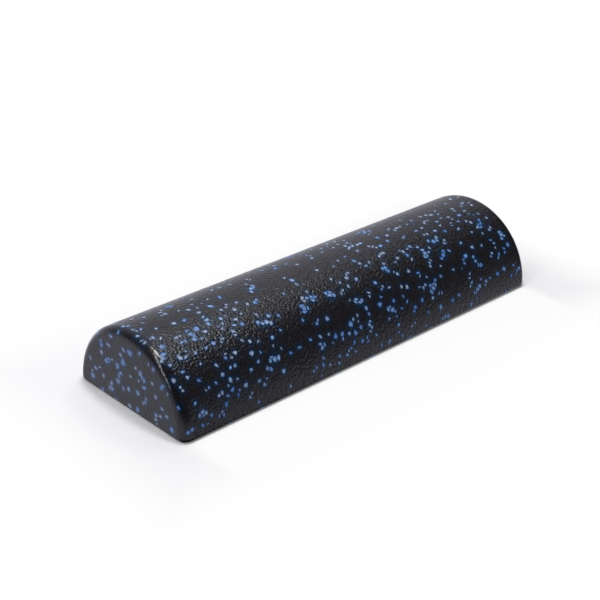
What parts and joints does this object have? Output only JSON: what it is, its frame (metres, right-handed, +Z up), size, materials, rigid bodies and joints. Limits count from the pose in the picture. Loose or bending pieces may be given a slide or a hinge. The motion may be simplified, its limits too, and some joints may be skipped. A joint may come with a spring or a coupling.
{
  "type": "half round foam roller",
  "caption": "Half round exercise roller: a moulded bead foam block with a domed top, a flat base and rounded rims, black with blue beads.",
  "frame": {"origin": "middle of the flat base", "axes": "+X along the block's length towards its right end, +Y across it towards its back, +Z up from the flat base to the crown of the dome"},
  "size_m": [0.45, 0.1498, 0.075],
  "materials": {
    "black_foam": "fine grained bead foam, matte with a low sheen",
    "blue_beads": "blue bead foam, matte with a low sheen"
  },
  "bodies": {
    "root": {"blue_beads_back_01": "blue_beads", "blue_beads_back_02": "blue_beads", "blue_beads_back_03": "blue_beads", "blue_beads_back_04": "blue_beads", "blue_beads_back_05": "blue_beads", "blue_beads_back_06": "blue_beads", "blue_beads_back_07": "blue_beads", "blue_beads_back_08": "blue_beads", "blue_beads_back_09": "blue_beads", "blue_beads_back_10": "blue_beads", "blue_beads_back_11": "blue_beads", "blue_beads_back_12": "blue_beads", "blue_beads_back_13": "blue_beads", "blue_beads_back_14": "blue_beads", "blue_beads_base_01": "blue_beads", "blue_beads_base_02": "blue_beads", "blue_beads_base_03": "blue_beads", "blue_beads_base_04": "blue_beads", "blue_beads_base_05": "blue_beads", "blue_beads_base_06": "blue_beads", "blue_beads_base_07": "blue_beads", "blue_beads_base_08": "blue_beads", "blue_beads_dome_01": "blue_beads", "blue_beads_dome_02": "blue_beads", "blue_beads_dome_03": "blue_beads", "blue_beads_dome_04": "blue_beads", "blue_beads_dome_05": "blue_beads", "blue_beads_dome_06": "blue_beads", "blue_beads_dome_07": "blue_beads", "blue_beads_dome_08": "blue_beads", "blue_beads_dome_09": "blue_beads", "blue_beads_dome_10": "blue_beads", "blue_beads_dome_11": "blue_beads", "blue_beads_dome_12": "blue_beads", "blue_beads_dome_13": "blue_beads", "blue_beads_dome_14": "blue_beads", "blue_beads_dome_15": "blue_beads", "blue_beads_dome_16": "blue_beads", "blue_beads_dome_17": "blue_beads", "blue_beads_dome_18": "blue_beads", "blue_beads_dome_19": "blue_beads", "blue_beads_dome_20": "blue_beads", "blue_beads_dome_21": "blue_beads", "blue_beads_dome_22": "blue_beads", "blue_beads_dome_23": "blue_beads", "blue_beads_dome_24": "blue_beads", "blue_beads_left_end_01": "blue_beads", "blue_beads_left_end_02": "blue_beads", "blue_beads_left_end_03": "blue_beads", "blue_beads_left_end_04": "blue_beads", "blue_beads_left_end_05": "blue_beads", "blue_beads_right_end_01": "blue_beads", "blue_beads_right_end_02": "blue_beads", "blue_beads_right_end_03": "blue_beads", "blue_beads_right_end_04": "blue_beads", "blue_beads_right_end_05": "blue_beads", "moulded_body": "black_foam"}
  },
  "joints": []
}
